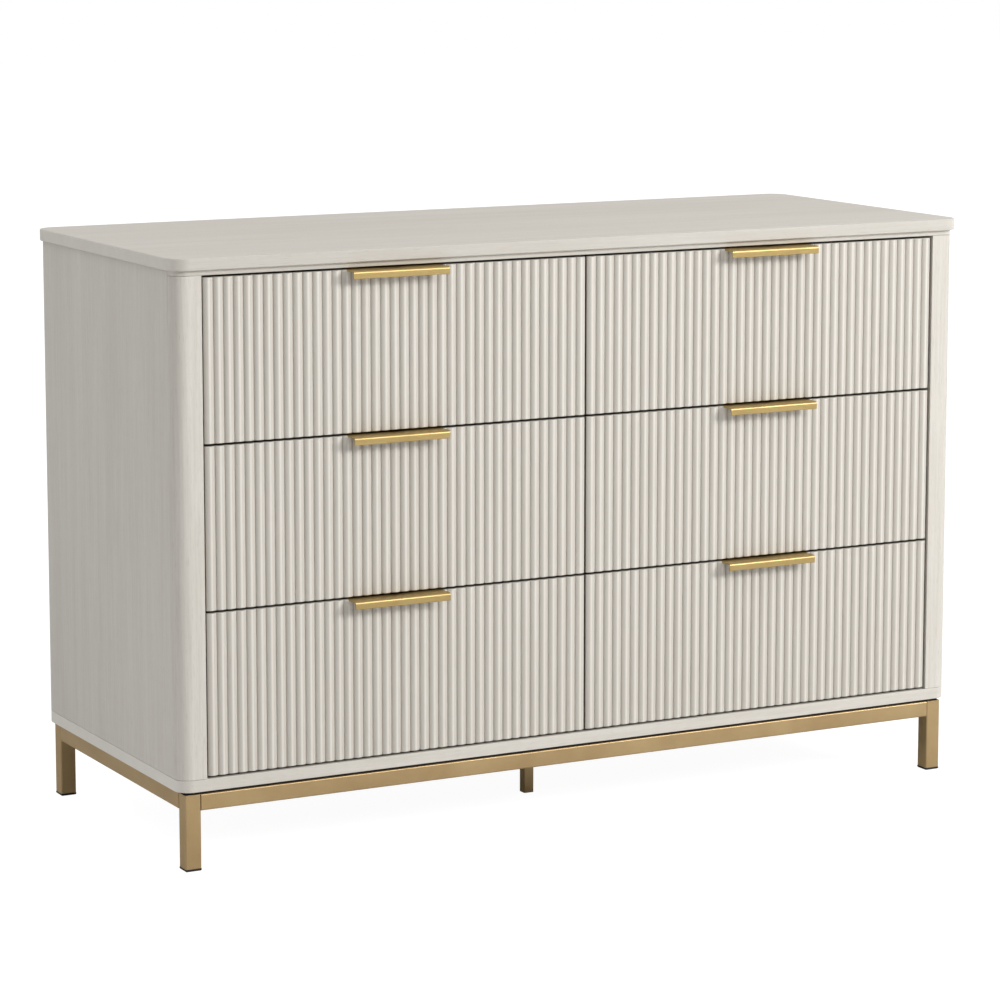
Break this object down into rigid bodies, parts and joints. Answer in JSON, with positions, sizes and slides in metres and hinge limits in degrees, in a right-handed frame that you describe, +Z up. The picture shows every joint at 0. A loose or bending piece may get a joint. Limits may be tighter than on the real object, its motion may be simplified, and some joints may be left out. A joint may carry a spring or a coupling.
{
  "type": "dresser",
  "caption": "Low dresser with two columns of drawers, vertically reeded fronts, rounded corners, edge pulls and a square-tube metal base.",
  "frame": {"origin": "middle of the bounding box, pulls included, at floor level", "axes": "+X along the width, to the right as seen from the front; -Y is the front, where the drawers come out; +Z up"},
  "size_m": [1.2, 0.494, 0.793],
  "materials": {
    "body_finish": "light warm grey painted oak, satin",
    "pull_brass": "brushed, pale gold",
    "base_metal": "matte gold",
    "black_plastic": "matte black",
    "drawer_wood": "clear-sealed birch plywood",
    "hardboard": "smooth light grey faced hardboard",
    "runner_steel": "zinc-plated"
  },
  "bodies": {
    "carcass": {"top_panel": "body_finish", "top_rail": "body_finish", "bottom_panel": "body_finish", "centre_divider": "body_finish", "corner_post_left": "body_finish", "corner_post_right": "body_finish", "side_panel_left": "body_finish", "side_panel_right": "body_finish", "back_panel": "hardboard", "base_leg_front_left": "base_metal", "foot_front_left": "black_plastic", "base_leg_front_right": "base_metal", "foot_front_right": "black_plastic", "base_leg_rear_left": "base_metal", "foot_rear_left": "black_plastic", "base_leg_rear_right": "base_metal", "foot_rear_right": "black_plastic", "base_rail_front": "base_metal", "base_rail_rear": "base_metal", "base_rail_left": "base_metal", "base_rail_right": "base_metal", "base_cross_rail": "base_metal", "base_leg_centre": "base_metal", "base_spacer": "black_plastic"},
    "drawer_bottom_left": {"drawer_front_bottom_left": "body_finish", "drawer_pull_bottom_left": "pull_brass", "drawer_side_a_bottom_left": "drawer_wood", "drawer_side_b_bottom_left": "drawer_wood", "drawer_back_bottom_left": "drawer_wood", "drawer_bottom_bottom_left": "hardboard"},
    "drawer_middle_left": {"drawer_front_middle_left": "body_finish", "drawer_pull_middle_left": "pull_brass", "drawer_side_a_middle_left": "drawer_wood", "drawer_side_b_middle_left": "drawer_wood", "drawer_back_middle_left": "drawer_wood", "drawer_bottom_middle_left": "hardboard"},
    "drawer_top_left": {"drawer_front_top_left": "body_finish", "drawer_pull_top_left": "pull_brass", "drawer_side_a_top_left": "drawer_wood", "drawer_side_b_top_left": "drawer_wood", "drawer_back_top_left": "drawer_wood", "drawer_bottom_top_left": "hardboard"},
    "drawer_bottom_right": {"drawer_front_bottom_right": "body_finish", "drawer_pull_bottom_right": "pull_brass", "drawer_side_a_bottom_right": "drawer_wood", "drawer_side_b_bottom_right": "drawer_wood", "drawer_back_bottom_right": "drawer_wood", "drawer_bottom_bottom_right": "hardboard"},
    "drawer_middle_right": {"drawer_front_middle_right": "body_finish", "drawer_pull_middle_right": "pull_brass", "drawer_side_a_middle_right": "drawer_wood", "drawer_side_b_middle_right": "drawer_wood", "drawer_back_middle_right": "drawer_wood", "drawer_bottom_middle_right": "hardboard"},
    "drawer_top_right": {"drawer_front_top_right": "body_finish", "drawer_pull_top_right": "pull_brass", "drawer_side_a_top_right": "drawer_wood", "drawer_side_b_top_right": "drawer_wood", "drawer_back_top_right": "drawer_wood", "drawer_bottom_top_right": "hardboard"}
  },
  "joints": [
    {"name": "slide_bottom_left", "type": "slide", "parent": "carcass", "child": "drawer_bottom_left", "axis": [0, -1, 0], "range_m": [0, 0.3]},
    {"name": "slide_middle_left", "type": "slide", "parent": "carcass", "child": "drawer_middle_left", "axis": [0, -1, 0], "range_m": [0, 0.3]},
    {"name": "slide_top_left", "type": "slide", "parent": "carcass", "child": "drawer_top_left", "axis": [0, -1, 0], "range_m": [0, 0.3]},
    {"name": "slide_bottom_right", "type": "slide", "parent": "carcass", "child": "drawer_bottom_right", "axis": [0, -1, 0], "range_m": [0, 0.3]},
    {"name": "slide_middle_right", "type": "slide", "parent": "carcass", "child": "drawer_middle_right", "axis": [0, -1, 0], "range_m": [0, 0.3]},
    {"name": "slide_top_right", "type": "slide", "parent": "carcass", "child": "drawer_top_right", "axis": [0, -1, 0], "range_m": [0, 0.3]}
  ]
}
